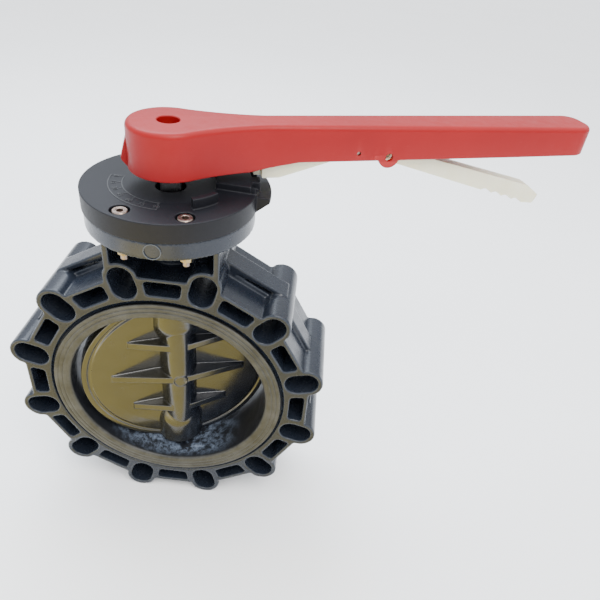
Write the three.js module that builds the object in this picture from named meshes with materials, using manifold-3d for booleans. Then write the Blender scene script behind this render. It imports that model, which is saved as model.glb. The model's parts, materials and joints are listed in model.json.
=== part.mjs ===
// Lug-type butterfly valve, nominal size 250, with a lever and a latch trigger.
// Millimetres. The origin is the centre of the bore, which runs along Y.
// +Z is the stem axis. The front face looks along -Y.

import * as THREE from 'three';
import { mergeVertices } from 'three/addons/utils/BufferGeometryUtils.js';
import Module from 'manifold-3d';

const wasm = await Module();
wasm.setup();

// ---- driving dimensions -------------------------------------------------

const GAP = 0.3; // clearance between touching pieces
const PAST = 2; // how far a cutter runs past the face it cuts

// The lever, stem and disc stand this far open from the closed position.
const REST_ANGLE = THREE.MathUtils.degToRad(19);

// Flange ring of the body
const SLOT_CIRCLE_R = 175;
const LUG_COUNT = 12;
const LUG_PITCH = (2 * Math.PI) / LUG_COUNT;
const HALF_LENGTH = 56; // half of the face-to-face length
const SLOT_HALF_WIDTH = 14.5;
const SLOT_HALF_TRAVEL = 6.5; // from the slot's centre to the centre of its round end
const LUG_R = 20.5;
const RING_APOTHEM = 180;
const POCKET_INNER_R = 157;
const POCKET_OUTER_R = 175;
const POCKET_INNER_HALF = 19; // half width at the inner radius
const POCKET_OUTER_HALF = 22;
const POCKET_FLOOR = 10; // half thickness of the web between the two pockets
const WEB_HALF = 14.5; // half thickness of the rib outside the ring
const WEB_APOTHEM = 195.5;
const GUSSET_NECK_Z = 187; // where the rib beside the neck meets it
const GUSSET_FOOT_Z = 140;
const GUSSET_END = [139, 146]; // where that rib meets the lug

// Neck and top flange
const NECK_INNER_X = 57;
const NECK_OUTER_X = 64;
const NECK_WEB_HALF = 8;
const COLUMN_R = 24;
const FLANGE_R = 93.5;
const FLANGE_BOTTOM = 230;
const FLANGE_TOP = 250;
const CLIP_RECESS_R = 18.5;
const CLIP_RECESS_Z = 234;

// Rubber liner
const LINER_INNER_R = 125.3;
const LINER_OUTER_R = 130;
const LINER_FLANGE_R = 145;
const LINER_RECESS_R = 149.5; // a gap shows round the liner's flange
const LINER_FLANGE_Z = 52; // where the liner's face flange starts
const LINER_PROUD = 1.5;
const LINER_MOUTH = 3.5; // rounding at the mouth

// Stem and its bearings
const STEM_R = 13;
const STEM_BOTTOM = -149;
const STEM_TOP = 317.2;
const STEM_DRIVE_FLAT = 10; // half across flats inside the disc
const STEM_DRIVE_HALF = 98;
const STEM_HEAD_R = 15;
const STEM_HEAD_FLAT = 11.5; // half across flats of the square head
const STEM_HEAD_Z = 258;
const BEARING_BORE_R = 16.2;
const BEARING_BOTTOM = -151.5;
const UPPER_BUSH = [150, 218];
const LOWER_BUSH = [-149.5, -136];
const SEAL_WIRE_R = 1.3;
const BODY_SEALS = [142, 224];
const DISC_SEALS = [-107, 107];
const CLIP_Z = [236, 238.2];
const CLIP_GROOVE_R = 11.2;

// Disc
const DISC_R = 124.8;
const DISC_WEB_HALF = 4.5; // half thickness beside the boss
const DISC_RIM_HALF = 12; // half thickness from here outwards, so each face is dished
const DISC_RIM_R = 92;
const DISC_BOSS_HALF = 23; // the boss is an oval, deeper than it is wide
const DISC_BOSS_DEPTH = 31;
const DISC_HUB_R = 32;
const DISC_HUB_START = 54; // the boss starts to widen here
const DISC_HUB_FULL = 88;
const DISC_RIB_HALF = 5;
const DISC_RIB_HEIGHT = 30.5;
const DISC_RIB_END = 12.8;
const DISC_RIBS = [[-55, 63], [0, 87], [55, 63]]; // height on the stem axis, reach from it

// Index plate
const PLATE_R = 95;
const PLATE_BOTTOM = FLANGE_TOP + GAP;
const PLATE_TOP = 272;
const PLATE_HOLE_R = 16.5;
const DISH_R = 50; // the plate's top dips towards the stem inside this radius
const DISH_FLOOR = 268;
const NOTCH_PITCH = THREE.MathUtils.degToRad(18);
const NOTCH_COUNT = 6;
const NOTCH_HALF_WIDTH = 6.3;
const NOTCH_INNER_R = 88.5;
const PLATFORM_R = 97;
const PLATFORM_TOP = 280;
const SHELF_R = 110;
const SHELF_TOP = 270;
const SHELF_EDGE_Z = 264;
const SECTOR_START = THREE.MathUtils.degToRad(-4.5);
const SECTOR_END = THREE.MathUtils.degToRad(98);
const STOP_INNER_R = 61;
const STOP_OUTER_R = 68;
const STOP_START = THREE.MathUtils.degToRad(-57);
const STOP_END = THREE.MathUtils.degToRad(-31);
const STOP_TOP = 283;
const SCREW_X = 32.4;
const SCREW_Y = 73.2;
const SCREW_HOLE_R = 4.2;
const SCREW_R = 3.9;
const SCREW_HEAD_R = 8;
const SCREW_SEAT_R = 10;
const SCREW_SEAT_Z = 264;
const SCREW_HEAD_TOP = 271.5;
const SCREW_BOTTOM = 215;
const SCREW_SOCKET_R = 3.8;
const SCREW_SOCKET_DEPTH = 4.5;
const WASHER_R = 8.5;
const WASHER_Z = [228, FLANGE_BOTTOM - GAP];
const NUT_R = 6.5;
const NUT_Z = [221.2, 227.7];

// Handle, measured outwards from the stem along the lever
const HUB_R = 43.5;
const HANDLE_TOP = 341;
const HANDLE_BOTTOM = 290.5;
const HANDLE_TIP = 514;
const HANDLE_WALL = 4.5;
const HANDLE_ROOF = 5;
const ARM_START = 105;
const ARM_START_HALF = 18.6;
const ARM_END_HALF = 26.3;
const TIP_CORNER_R = 20;
const SOCKET_BOSS_R = 20;
const SOCKET_FLAT = STEM_HEAD_FLAT + GAP;
const SOCKET_TOP = STEM_TOP + GAP;
const BOLT_SEAT_Z = 321;
const BOLT_ACCESS_R = 11.8;
const BOLT_HOLE_R = 5.6;
const BOLT_R = 4.9;
const BOLT_HEAD_R = 8.2;
const PADLOCK_EYE = [243.5, 305.5];
const PADLOCK_EYE_R = 12.5;
const PADLOCK_HOLE_R = 4.75;
const POINTER_HALF = 3.5;

// Trigger, in the lever's side view: distance from the stem, height
const PIVOT = [206, 310];
const PIVOT_HOLE_R = 2.6;
const PIN_R = 2.2;
const PIN_HALF = 18.2;
const TRIGGER_HALF = 10;
const TRIGGER_FRONT = 98.5;
const TRIGGER_BOTTOM = 279;
const LATCH_FRONT = 90.5;
const LATCH_HALF = 4.2;
const LATCH_Z = [280.6, 285.5];
const GRIP_START = [386, 256];
const GRIP_END = [453, 236];
const GRIP_SCALLOPS = 4;
const GRIP_SCALLOP_DEPTH = 3.5;
const SPRING_COIL_R = 4.6;
const SPRING_WIRE_R = 0.8;
const SPRING_TURNS = 4;
const SPRING_SLOT_HALF = 5.5;

// ---- solids ---------------------------------------------------------------

// A closed geometry as a Manifold solid.
function solid(geometry) {
  const bare = geometry.clone();
  bare.deleteAttribute('normal');
  bare.deleteAttribute('uv');
  const merged = mergeVertices(bare, 1e-4);
  const index = merged.index.array;
  const corners = [];
  for (let i = 0; i < index.length; i += 3) {
    const [a, b, c] = [index[i], index[i + 1], index[i + 2]];
    if (a !== b && b !== c && c !== a) corners.push(a, b, c);
  }
  const vertProperties = new Float32Array(merged.attributes.position.array);
  const triVerts = new Uint32Array(corners);
  return new wasm.Manifold(new wasm.Mesh({ numProp: 3, vertProperties, triVerts }));
}

function union(solids) {
  return solids.reduce((whole, piece) => whole.add(piece));
}

function cut(whole, cutters) {
  return cutters.reduce((rest, cutter) => rest.subtract(cutter), whole);
}

// A flat outline in X and Z, extruded along Y.
function alongY(shape, y0, y1, curveSegments = 4) {
  const geometry = new THREE.ExtrudeGeometry(shape, { depth: y1 - y0, bevelEnabled: false, curveSegments });
  geometry.rotateX(Math.PI / 2);
  geometry.translate(0, y1, 0);
  return solid(geometry);
}

// A flat outline in X and Y, extruded along Z.
function alongZ(shape, z0, z1, curveSegments = 8) {
  const geometry = new THREE.ExtrudeGeometry(shape, { depth: z1 - z0, bevelEnabled: false, curveSegments });
  geometry.translate(0, 0, z0);
  return solid(geometry);
}

function box(x0, x1, y0, y1, z0, z1) {
  const geometry = new THREE.BoxGeometry(x1 - x0, y1 - y0, z1 - z0);
  geometry.translate((x0 + x1) / 2, (y0 + y1) / 2, (z0 + z1) / 2);
  return solid(geometry);
}

function rod(radius, z0, z1, segments = 24, x = 0, y = 0) {
  const geometry = new THREE.CylinderGeometry(radius, radius, z1 - z0, segments);
  geometry.rotateX(Math.PI / 2);
  geometry.translate(x, y, (z0 + z1) / 2);
  return solid(geometry);
}

function rodAlongY(radius, y0, y1, segments = 32, x = 0, z = 0) {
  const geometry = new THREE.CylinderGeometry(radius, radius, y1 - y0, segments);
  geometry.translate(x, (y0 + y1) / 2, z);
  return solid(geometry);
}

// A profile of [radius, height] points turned about Z.
function turned(profile, segments = 48) {
  const points = profile.map(([r, h]) => new THREE.Vector2(r, h));
  const geometry = new THREE.LatheGeometry(points, segments);
  geometry.rotateX(Math.PI / 2);
  return solid(geometry);
}

// A closed ring of rectangular section about Z.
function tube(inner, outer, z0, z1, segments = 24) {
  return turned([[inner, z0], [outer, z0], [outer, z1], [inner, z1], [inner, z0]], segments);
}

function sealRing(z) {
  const geometry = new THREE.TorusGeometry(STEM_R + GAP + SEAL_WIRE_R, SEAL_WIRE_R, 5, 20);
  geometry.translate(0, 0, z);
  return solid(geometry);
}

function outline(points) {
  return new THREE.Shape(points.map(([x, y]) => new THREE.Vector2(x, y)));
}

// A regular polygon with a flat centred on the X axis.
function polygonShape(sides, apothem) {
  const corner = apothem / Math.cos(Math.PI / sides);
  const points = [];
  for (let i = 0; i < sides; i += 1) {
    const angle = ((i + 0.5) * 2 * Math.PI) / sides;
    points.push([corner * Math.cos(angle), corner * Math.sin(angle)]);
  }
  return outline(points);
}

// A slot or lug outline, long along X: two round ends joined by straight sides.
function stadiumShape(radius, nearX, farX) {
  const shape = new THREE.Shape();
  shape.absarc(farX, 0, radius, -Math.PI / 2, Math.PI / 2, false);
  shape.absarc(nearX, 0, radius, Math.PI / 2, (3 * Math.PI) / 2, false);
  shape.closePath();
  return shape;
}

// A part of a flat ring between two angles.
function sectorShape(inner, outer, start, end) {
  const shape = new THREE.Shape();
  shape.absarc(0, 0, outer, start, end, false);
  shape.absarc(0, 0, inner, end, start, true);
  shape.closePath();
  return shape;
}

function turnAboutBore(piece, angle) {
  return piece.rotate([0, THREE.MathUtils.radToDeg(-angle), 0]);
}

function turnAboutStem(piece, angle) {
  return piece.rotate([0, 0, THREE.MathUtils.radToDeg(angle)]);
}

function aroundBore(piece, count, firstAngle) {
  const copies = [];
  for (let i = 0; i < count; i += 1) {
    copies.push(turnAboutBore(piece, firstAngle + (i * 2 * Math.PI) / count));
  }
  return copies;
}

// ---- body -------------------------------------------------------------------

function flangeRing() {
  const lug = alongY(
    stadiumShape(LUG_R, SLOT_CIRCLE_R - SLOT_HALF_TRAVEL, SLOT_CIRCLE_R + SLOT_HALF_TRAVEL),
    -HALF_LENGTH,
    HALF_LENGTH,
  );
  const ring = alongY(polygonShape(LUG_COUNT, RING_APOTHEM), -HALF_LENGTH, HALF_LENGTH);
  const web = alongY(polygonShape(LUG_COUNT, WEB_APOTHEM), -WEB_HALF, WEB_HALF);
  return union([ring, web, ...aroundBore(lug, LUG_COUNT, LUG_PITCH / 2)]);
}

function pockets() {
  const shape = outline([
    [POCKET_INNER_R, -POCKET_INNER_HALF],
    [POCKET_OUTER_R, -POCKET_OUTER_HALF],
    [POCKET_OUTER_R, POCKET_OUTER_HALF],
    [POCKET_INNER_R, POCKET_INNER_HALF],
  ]);
  const front = alongY(shape, -HALF_LENGTH - PAST, -POCKET_FLOOR, 1);
  const back = alongY(shape, POCKET_FLOOR, HALF_LENGTH + PAST, 1);
  return [...aroundBore(front, LUG_COUNT, 0), ...aroundBore(back, LUG_COUNT, 0)];
}

// The ribs that run from the neck down to the lugs beside it, and the web between them.
function gussets() {
  const [endX, endZ] = GUSSET_END;
  return alongY(outline([
    [-endX, GUSSET_FOOT_Z],
    [endX, GUSSET_FOOT_Z],
    [endX, endZ],
    [NECK_OUTER_X, GUSSET_NECK_Z],
    [-NECK_OUTER_X, GUSSET_NECK_Z],
    [-endX, endZ],
  ]), -WEB_HALF, WEB_HALF);
}

function neck() {
  const foot = 160;
  return union([
    box(NECK_INNER_X, NECK_OUTER_X, -HALF_LENGTH, HALF_LENGTH, foot, FLANGE_BOTTOM + 1),
    box(-NECK_OUTER_X, -NECK_INNER_X, -HALF_LENGTH, HALF_LENGTH, foot, FLANGE_BOTTOM + 1),
    box(-NECK_OUTER_X, NECK_OUTER_X, -NECK_WEB_HALF, NECK_WEB_HALF, foot, FLANGE_BOTTOM + 1),
    rod(COLUMN_R, 140, FLANGE_BOTTOM + 1, 24),
    rod(FLANGE_R, FLANGE_BOTTOM, FLANGE_TOP, 48),
  ]);
}

function screwPlaces() {
  return [[-1, -1], [1, -1], [1, 1], [-1, 1]].map(([i, j]) => [i * SCREW_X, j * SCREW_Y]);
}

function valveBody() {
  const slot = alongY(
    stadiumShape(SLOT_HALF_WIDTH, SLOT_CIRCLE_R - SLOT_HALF_TRAVEL, SLOT_CIRCLE_R + SLOT_HALF_TRAVEL),
    -HALF_LENGTH - PAST,
    HALF_LENGTH + PAST,
  );
  const recessDepth = LINER_FLANGE_Z - GAP;
  const outside = union([
    cut(union([flangeRing(), gussets()]), pockets()),
    neck(),
    rod(COLUMN_R, -174, -140, 24),
  ]);
  return cut(outside, [
    ...aroundBore(slot, LUG_COUNT, LUG_PITCH / 2),
    rodAlongY(LINER_OUTER_R + GAP, -HALF_LENGTH - PAST, HALF_LENGTH + PAST, 60),
    rodAlongY(LINER_RECESS_R, -HALF_LENGTH - PAST, -recessDepth, 60),
    rodAlongY(LINER_RECESS_R, recessDepth, HALF_LENGTH + PAST, 60),
    rod(BEARING_BORE_R, 100, FLANGE_TOP + PAST),
    rod(CLIP_RECESS_R, CLIP_RECESS_Z, FLANGE_TOP + PAST),
    rod(BEARING_BORE_R, BEARING_BOTTOM, -100),
    ...screwPlaces().map(([x, y]) => rod(SCREW_HOLE_R, FLANGE_BOTTOM - PAST, FLANGE_TOP + PAST, 10, x, y)),
  ]);
}

function seatLiner() {
  const face = HALF_LENGTH + LINER_PROUD;
  const half = [
    [LINER_INNER_R, face - LINER_MOUTH],
    [LINER_INNER_R + 1, face - 1],
    [LINER_INNER_R + LINER_MOUTH, face],
    [LINER_FLANGE_R, face],
    [LINER_FLANGE_R, LINER_FLANGE_Z],
    [LINER_OUTER_R, LINER_FLANGE_Z],
  ];
  const mirrored = half.map(([r, y]) => [r, -y]).reverse();
  const profile = [...half, ...mirrored, half[0]];
  const points = profile.map(([r, y]) => new THREE.Vector2(r, y)).reverse();
  const liner = solid(new THREE.LatheGeometry(points, 60));
  const stemHole = rod(STEM_R + 2 * GAP, -LINER_FLANGE_R, LINER_FLANGE_R);
  return liner.subtract(stemHole);
}

// ---- stem and disc ------------------------------------------------------------

function squareBar(flat, z0, z1) {
  return box(-flat, flat, -flat, flat, z0, z1);
}

function stem() {
  const driveFlats = rod(STEM_R + PAST, -STEM_DRIVE_HALF, STEM_DRIVE_HALF)
    .subtract(squareBar(STEM_DRIVE_FLAT, -STEM_DRIVE_HALF, STEM_DRIVE_HALF));
  const head = rod(STEM_HEAD_R, STEM_HEAD_Z, STEM_TOP).intersect(squareBar(STEM_HEAD_FLAT, STEM_HEAD_Z, STEM_TOP));
  return cut(union([rod(STEM_R, STEM_BOTTOM, STEM_HEAD_Z + 1), head]), [
    driveFlats,
    tube(CLIP_GROOVE_R, STEM_R + PAST, CLIP_Z[0] - GAP, CLIP_Z[1] + GAP),
    rod(BOLT_R + GAP, 285, STEM_TOP + PAST, 16),
  ]);
}

// A snap ring with an open side, seated in the stem's groove.
function stemClip() {
  const ring = sectorShape(CLIP_GROOVE_R + GAP, CLIP_RECESS_R - 1.5, 0.4, 2 * Math.PI - 0.4);
  return alongZ(ring, CLIP_Z[0], CLIP_Z[1], 16);
}

function discRibs() {
  const ribs = [];
  for (const [z, reach] of DISC_RIBS) {
    const wedge = outline([
      [-reach, -DISC_RIB_END],
      [0, -DISC_RIB_HEIGHT],
      [reach, -DISC_RIB_END],
      [reach, DISC_RIB_END],
      [0, DISC_RIB_HEIGHT],
      [-reach, DISC_RIB_END],
    ]);
    ribs.push(alongZ(wedge, z - DISC_RIB_HALF, z + DISC_RIB_HALF));
  }
  return ribs;
}

// The plate of the disc, thin beside the boss and thick towards its rim.
function dishedPlate() {
  const profile = [
    [0, -DISC_WEB_HALF],
    [DISC_BOSS_DEPTH, -DISC_WEB_HALF],
    [DISC_RIM_R, -DISC_RIM_HALF],
    [DISC_R, -DISC_RIM_HALF],
    [DISC_R, DISC_RIM_HALF],
    [DISC_RIM_R, DISC_RIM_HALF],
    [DISC_BOSS_DEPTH, DISC_WEB_HALF],
    [0, DISC_WEB_HALF],
  ];
  return solid(new THREE.LatheGeometry(profile.map(([r, y]) => new THREE.Vector2(r, y)), 48));
}

function disc() {
  const hub = turned([
    [0, DISC_HUB_START],
    [DISC_BOSS_HALF, DISC_HUB_START],
    [DISC_HUB_R, DISC_HUB_FULL],
    [DISC_HUB_R, DISC_R],
    [0, DISC_R],
  ], 24);
  const lowerHub = hub.mirror([0, 0, 1]);
  const sphere = solid(new THREE.SphereGeometry(DISC_R, 48, 24));
  const boss = rod(DISC_BOSS_HALF, -DISC_R, DISC_R, 32).scale([1, DISC_BOSS_DEPTH / DISC_BOSS_HALF, 1]);
  const shape = union([
    dishedPlate(),
    boss,
    hub,
    lowerHub,
    ...discRibs(),
  ]).intersect(sphere);
  const driveHole = rod(STEM_R + GAP, -STEM_DRIVE_HALF, STEM_DRIVE_HALF)
    .intersect(squareBar(STEM_DRIVE_FLAT + GAP, -STEM_DRIVE_HALF, STEM_DRIVE_HALF));
  const grooves = DISC_SEALS.map((z) => rod(STEM_R + 2 * SEAL_WIRE_R + 2 * GAP, z - 1.8, z + 1.8));
  return cut(shape, [
    driveHole,
    rod(STEM_R + GAP, STEM_DRIVE_HALF - 1, DISC_R + PAST),
    rod(STEM_R + GAP, -DISC_R - PAST, -STEM_DRIVE_HALF + 1),
    ...grooves,
  ]);
}

// ---- index plate and its fasteners ---------------------------------------------

function notchedSector() {
  const platform = alongZ(
    sectorShape(PLATE_HOLE_R, PLATFORM_R, SECTOR_START, SECTOR_END), PLATE_TOP - 4, PLATFORM_TOP, 16,
  );
  const shelf = turned([
    [80, PLATE_BOTTOM],
    [PLATE_R, PLATE_BOTTOM],
    [SHELF_R, SHELF_EDGE_Z],
    [SHELF_R, SHELF_TOP],
    [80, SHELF_TOP],
    [80, PLATE_BOTTOM],
  ], 48).intersect(alongZ(sectorShape(60, SHELF_R + 10, SECTOR_START, SECTOR_END), 240, 300, 16));
  const notch = box(NOTCH_INNER_R, PLATFORM_R + 10, -NOTCH_HALF_WIDTH, NOTCH_HALF_WIDTH, SHELF_TOP, 300);
  const notches = [];
  for (let i = 0; i < NOTCH_COUNT; i += 1) {
    notches.push(turnAboutStem(notch, i * NOTCH_PITCH));
  }
  return { raised: union([platform, shelf]), notches };
}

function indexPlate() {
  const { raised, notches } = notchedSector();
  const dish = turned([
    [0, DISH_FLOOR],
    [PLATE_HOLE_R, DISH_FLOOR],
    [DISH_R, PLATE_TOP],
    [DISH_R, PLATE_TOP + PAST],
    [0, PLATE_TOP + PAST],
  ], 24);
  const plate = rod(PLATE_R, PLATE_BOTTOM, PLATE_TOP, 48).subtract(dish);
  const stop = alongZ(sectorShape(STOP_INNER_R, STOP_OUTER_R, STOP_START, STOP_END), PLATE_TOP - 1, STOP_TOP);
  return cut(union([plate, stop, raised]), [
    ...notches,
    rod(PLATE_HOLE_R, PLATE_BOTTOM - PAST, PLATFORM_TOP + PAST),
    ...screwPlaces().map(([x, y]) => rod(SCREW_HOLE_R, PLATE_BOTTOM - PAST, SCREW_SEAT_Z + 1, 10, x, y)),
    ...screwPlaces().map(([x, y]) => rod(SCREW_SEAT_R, SCREW_SEAT_Z, PLATFORM_TOP + PAST, 16, x, y)),
  ]);
}

function plateScrew(x, y) {
  const head = rod(SCREW_HEAD_R, SCREW_SEAT_Z + GAP, SCREW_HEAD_TOP, 16, x, y);
  const shank = rod(SCREW_R, SCREW_BOTTOM, SCREW_SEAT_Z + 1, 10, x, y);
  const socket = rod(SCREW_SOCKET_R, SCREW_HEAD_TOP - SCREW_SOCKET_DEPTH, SCREW_HEAD_TOP + PAST, 6, x, y);
  return head.add(shank).subtract(socket);
}

function plateWasher(x, y) {
  return tube(SCREW_HOLE_R, WASHER_R, WASHER_Z[0], WASHER_Z[1], 10).translate([x, y, 0]);
}

function plateNut(x, y) {
  const hexagon = rod(NUT_R, NUT_Z[0], NUT_Z[1], 6);
  return hexagon.subtract(rod(SCREW_HOLE_R, NUT_Z[0] - PAST, NUT_Z[1] + PAST, 10)).translate([x, y, 0]);
}

// ---- handle ---------------------------------------------------------------------

// Plan of the handle, drawn smaller all round by inset.
function handlePlan(inset) {
  const hub = HUB_R - inset;
  const startAngle = THREE.MathUtils.degToRad(65);
  const startHalf = ARM_START_HALF - inset;
  const endHalf = ARM_END_HALF - inset;
  const tip = HANDLE_TIP - inset;
  const corner = TIP_CORNER_R - inset;
  const hubX = hub * Math.cos(startAngle);
  const hubY = hub * Math.sin(startAngle);
  const leave = 24;
  const leaveX = hubX + leave * Math.sin(startAngle);
  const leaveY = hubY - leave * Math.cos(startAngle);
  const shape = new THREE.Shape();
  shape.absarc(0, 0, hub, startAngle, 2 * Math.PI - startAngle, false);
  shape.bezierCurveTo(leaveX, -leaveY, 75, -startHalf - 1.8, ARM_START, -startHalf);
  shape.absarc(tip - corner, -endHalf + corner, corner, -Math.PI / 2, 0, false);
  shape.absarc(tip - corner, endHalf - corner, corner, 0, Math.PI / 2, false);
  shape.lineTo(ARM_START, startHalf);
  shape.bezierCurveTo(75, startHalf + 1.8, leaveX, leaveY, hubX, hubY);
  return shape;
}

function handleSide() {
  const [eyeX, eyeZ] = PADLOCK_EYE;
  const shape = new THREE.Shape();
  shape.moveTo(-60, HANDLE_TOP);
  shape.lineTo(-60, HANDLE_BOTTOM);
  shape.lineTo(84, HANDLE_BOTTOM);
  shape.lineTo(138, 300);
  shape.lineTo(230, 301.5);
  shape.absarc(eyeX, eyeZ, PADLOCK_EYE_R, Math.PI * 1.12, Math.PI * 1.88, false);
  shape.lineTo(260, 301.8);
  shape.lineTo(404, 304.5);
  shape.lineTo(HANDLE_TIP + 10, 307);
  shape.lineTo(HANDLE_TIP + 10, HANDLE_TOP);
  shape.closePath();
  return shape;
}

function handle() {
  const shell = alongZ(handlePlan(0), 250, HANDLE_TOP + PAST, 8)
    .intersect(alongY(handleSide(), -60, 60, 6))
    .intersect(box(-60, HANDLE_TIP + 10, -60, 60, 250, HANDLE_TOP))
    .subtract(alongZ(handlePlan(HANDLE_WALL), 250, HANDLE_TOP - HANDLE_ROOF, 8));
  const boss = rod(SOCKET_BOSS_R, HANDLE_BOTTOM + 0.5, HANDLE_TOP - 1);
  const pointer = alongY(
    outline([[-HUB_R + 1.5, HANDLE_BOTTOM], [-HUB_R + 1.5, 330], [-49.5, 303], [-49, 300]].reverse()),
    -POINTER_HALF,
    POINTER_HALF,
  );
  const [eyeX, eyeZ] = PADLOCK_EYE;
  return cut(union([shell, boss, pointer]), [
    squareBar(SOCKET_FLAT, HANDLE_BOTTOM - PAST, SOCKET_TOP),
    rod(BOLT_HOLE_R, SOCKET_TOP - 1, BOLT_SEAT_Z + 1, 16),
    rod(BOLT_ACCESS_R, BOLT_SEAT_Z, HANDLE_TOP + PAST),
    rodAlongY(PIN_R + GAP, -60, 60, 10, PIVOT[0], PIVOT[1]),
    rodAlongY(PADLOCK_HOLE_R, -60, 60, 16, eyeX, eyeZ),
  ]);
}

function handleBolt() {
  const head = rod(BOLT_HEAD_R, BOLT_SEAT_Z + 2 + GAP, 329.5, 6);
  return head.add(rod(BOLT_R, 290, BOLT_SEAT_Z + 3, 16));
}

function handleWasher() {
  return tube(BOLT_HOLE_R, BOLT_ACCESS_R - 1.3, BOLT_SEAT_Z + GAP, BOLT_SEAT_Z + 2, 16);
}

// ---- trigger ----------------------------------------------------------------------

// Lower edge of the grip: hollows for the fingers between the grip's start and end.
function gripScallops() {
  const points = [];
  const [x0, z0] = GRIP_START;
  const [x1, z1] = GRIP_END;
  const steps = [0, 0.12, 0.35, 0.65, 0.88];
  for (let i = 0; i < GRIP_SCALLOPS; i += 1) {
    for (const step of steps) {
      const t = (i + step) / GRIP_SCALLOPS;
      const rise = GRIP_SCALLOP_DEPTH * 4 * step * (1 - step);
      points.push([x0 + (x1 - x0) * t, z0 + (z1 - z0) * t + rise]);
    }
  }
  return points;
}

function triggerSide() {
  return outline([
    [TRIGGER_FRONT, 296],
    [TRIGGER_FRONT, TRIGGER_BOTTOM],
    [118, TRIGGER_BOTTOM],
    [150, 288.5],
    [192, 301.5],
    [240, 299],
    [257, 294],
    ...gripScallops(),
    GRIP_END,
    [471, 234],
    [476, 246],
    [456, 259.5],
    [305, 298.7],
    [250, 316],
    [212, 319],
    [200, 319],
    [166, 316],
    [124, 297],
  ]);
}

function trigger() {
  const [px, pz] = PIVOT;
  const [eyeX, eyeZ] = PADLOCK_EYE;
  const latch = box(LATCH_FRONT, TRIGGER_FRONT + 4, -LATCH_HALF, LATCH_HALF, LATCH_Z[0], LATCH_Z[1]);
  const lever = alongY(triggerSide(), -TRIGGER_HALF, TRIGGER_HALF);
  return cut(lever.add(latch), [
    rodAlongY(PIVOT_HOLE_R, -20, 20, 10, px, pz),
    rodAlongY(PADLOCK_HOLE_R + 1.2, -20, 20, 16, eyeX, eyeZ),
    box(px - 9, px + 9, -SPRING_SLOT_HALF, SPRING_SLOT_HALF, pz - 5.5 - SPRING_WIRE_R, pz + 20),
  ]);
}

function pivotPin() {
  return rodAlongY(PIN_R, -PIN_HALF, PIN_HALF, 10, PIVOT[0], PIVOT[1]);
}

// The spring's wire: a coil about the pin, ending in one leg up to the handle's roof.
class SpringCurve extends THREE.Curve {
  getPoint(t, target = new THREE.Vector3()) {
    const legShare = 0.12;
    const coilT = Math.min(t / (1 - legShare), 1);
    const angle = coilT * SPRING_TURNS * 2 * Math.PI;
    const reach = SPRING_SLOT_HALF - 1.6;
    const rise = Math.max(0, (t - (1 - legShare)) / legShare) * 14;
    return target.set(
      PIVOT[0] + SPRING_COIL_R * Math.cos(angle),
      -reach + 2 * reach * coilT,
      PIVOT[1] + SPRING_COIL_R * Math.sin(angle) + rise,
    );
  }
}

function torsionSpring() {
  const section = new THREE.Shape();
  section.absarc(0, 0, SPRING_WIRE_R, 0, 2 * Math.PI, false);
  const geometry = new THREE.ExtrudeGeometry(section, {
    steps: 44,
    curveSegments: 3,
    bevelEnabled: false,
    extrudePath: new SpringCurve(),
  });
  return solid(geometry);
}

// ---- scene graph ---------------------------------------------------------------------

function finish(color, roughness, metalness = 0) {
  return () => new THREE.MeshStandardMaterial({ color, roughness, metalness, flatShading: true });
}

const greyPlastic = finish(0x3b4048, 0.38);
const blackPlastic = finish(0x24252b, 0.6);
const redPlastic = finish(0xb0282c, 0.45);
const whitePlastic = finish(0xd8d2bd, 0.5);
const rubber = finish(0x4a4a48, 0.75);
const steel = finish(0xa9a7a2, 0.35, 1);
const brass = finish(0xc9a65a, 0.35, 1);
const bearingPlastic = finish(0xd9d7d0, 0.5);

function named(name, piece, material) {
  const { vertProperties, triVerts } = piece.getMesh();
  const geometry = new THREE.BufferGeometry();
  geometry.setAttribute('position', new THREE.BufferAttribute(vertProperties, 3));
  geometry.setIndex(new THREE.BufferAttribute(triVerts, 1));
  geometry.computeVertexNormals();
  const mesh = new THREE.Mesh(geometry, material());
  mesh.name = name;
  return mesh;
}

const group = new THREE.Group();

group.add(
  named('valve_body', valveBody(), greyPlastic),
  named('seat_liner', seatLiner(), rubber),
  named('upper_bushing', tube(STEM_R + GAP, BEARING_BORE_R - GAP, ...UPPER_BUSH), bearingPlastic),
  named('lower_bushing', tube(STEM_R + GAP, BEARING_BORE_R - GAP, ...LOWER_BUSH), bearingPlastic),
  named('stem_seal_lower', sealRing(BODY_SEALS[0]), rubber),
  named('stem_seal_upper', sealRing(BODY_SEALS[1]), rubber),
  named('index_plate', indexPlate(), blackPlastic),
);

screwPlaces().forEach(([x, y], i) => {
  group.add(
    named(`plate_screw_${i + 1}`, plateScrew(x, y), steel),
    named(`plate_washer_${i + 1}`, plateWasher(x, y), brass),
    named(`plate_nut_${i + 1}`, plateNut(x, y), brass),
  );
});

// Everything that turns with the stem is built closed, along X, and turned to its rest angle.
const lever = new THREE.Group();
lever.rotation.z = REST_ANGLE;
lever.add(
  named('stem', stem(), steel),
  named('stem_clip', stemClip(), steel),
  named('disc', disc(), greyPlastic),
  named('disc_seal_lower', sealRing(DISC_SEALS[0]), rubber),
  named('disc_seal_upper', sealRing(DISC_SEALS[1]), rubber),
  named('handle', handle(), redPlastic),
  named('handle_washer', handleWasher(), steel),
  named('handle_bolt', handleBolt(), steel),
  named('pivot_pin', pivotPin(), steel),
  named('torsion_spring', torsionSpring(), steel),
  named('trigger', trigger(), whitePlastic),
);
group.add(lever);

export default group;
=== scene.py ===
"""Lug-type butterfly valve with a lever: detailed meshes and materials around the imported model."""
import json
import math

import bmesh
import bpy
from mathutils import Matrix, Vector, noise


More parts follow.
